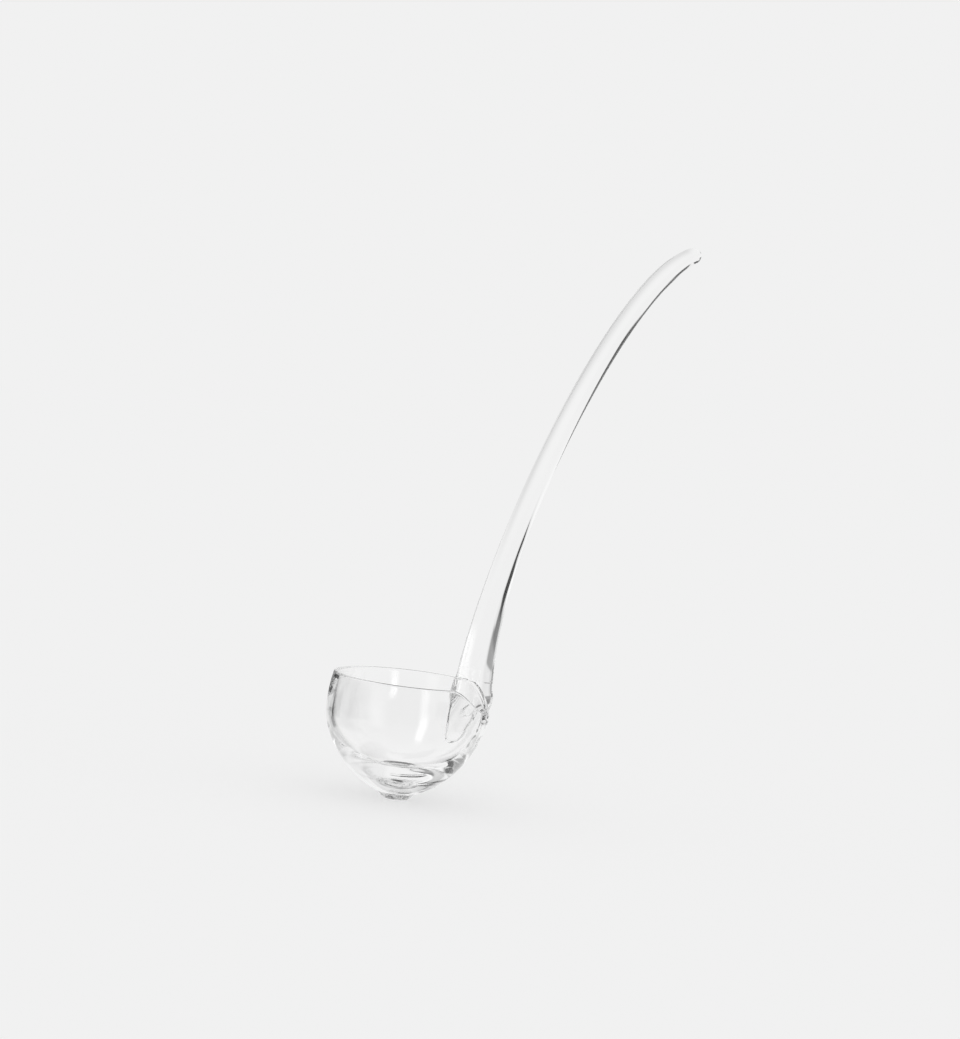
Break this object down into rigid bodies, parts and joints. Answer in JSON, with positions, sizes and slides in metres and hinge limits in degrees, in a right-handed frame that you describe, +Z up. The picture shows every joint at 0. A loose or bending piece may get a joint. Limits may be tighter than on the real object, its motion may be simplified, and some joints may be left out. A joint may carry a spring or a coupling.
{
  "type": "punch ladle",
  "caption": "Clear glass punch ladle: a deep round bowl with a pouring lip in its rim, and a solid curved handle drawn out of a heel that is fused down the bowl's outside.",
  "frame": {"origin": "middle of the small ground flat under the bowl", "axes": "+Z up along the bowl's axis, +X towards the side that the handle leans to; the pouring lip lies on the -Y side of the handle"},
  "size_m": [0.2188, 0.0803, 0.2945],
  "materials": {
    "bowl_glass": "clear blown glass, fire-polished",
    "handle_glass": "clear drawn solid glass, fire-polished",
    "pontil_glass": "clear glass, ground and polished, slightly uneven"
  },
  "bodies": {
    "root": {"bowl": "bowl_glass", "handle": "handle_glass", "pontil": "pontil_glass"}
  },
  "joints": []
}
